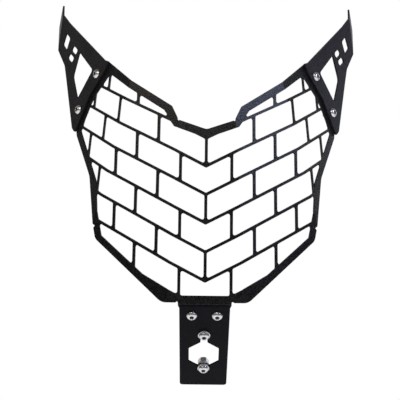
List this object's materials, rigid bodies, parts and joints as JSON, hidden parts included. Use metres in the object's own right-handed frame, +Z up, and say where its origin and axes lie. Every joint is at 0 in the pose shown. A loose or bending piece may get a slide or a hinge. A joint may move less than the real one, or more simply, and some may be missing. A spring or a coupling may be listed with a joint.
{
  "type": "motorcycle headlight guard",
  "caption": "Folded steel headlight guard for a motorcycle: brick-pattern grille with angled side facets, bolted wing brackets and a slotted lower bracket.",
  "frame": {"origin": "middle of the lower bracket's adjustment slot, at the bracket's back face", "axes": "+Z up along the centre facet of the grille, +Y back towards the headlight, +X to the right seen from the front"},
  "size_m": [0.361, 0.1762, 0.443],
  "materials": {
    "grille_coat": "fine-grained black powder coat on steel sheet",
    "wing_coat": "satin black powder coat on steel plate",
    "lower_coat": "satin black powder coat on steel plate",
    "zinc": "bright zinc-plated steel"
  },
  "bodies": {
    "root": {"guard_grille": "grille_coat", "left_wing_bracket": "wing_coat", "right_wing_bracket": "wing_coat", "lower_bracket": "lower_coat", "left_wing_upper_bolt": "zinc", "left_wing_upper_nut": "zinc", "left_wing_lower_bolt": "zinc", "left_wing_lower_nut": "zinc", "right_wing_upper_bolt": "zinc", "right_wing_upper_nut": "zinc", "right_wing_lower_bolt": "zinc", "right_wing_lower_nut": "zinc", "left_tab_bolt": "zinc", "left_tab_nut": "zinc", "right_tab_bolt": "zinc", "right_tab_nut": "zinc", "upper_slot_bolt": "zinc", "upper_slot_front_washer": "zinc", "upper_slot_rear_washer": "zinc", "upper_slot_nut": "zinc", "lower_slot_bolt": "zinc", "lower_slot_front_washer": "zinc", "lower_slot_rear_washer": "zinc", "lower_slot_nut": "zinc"}
  },
  "joints": []
}
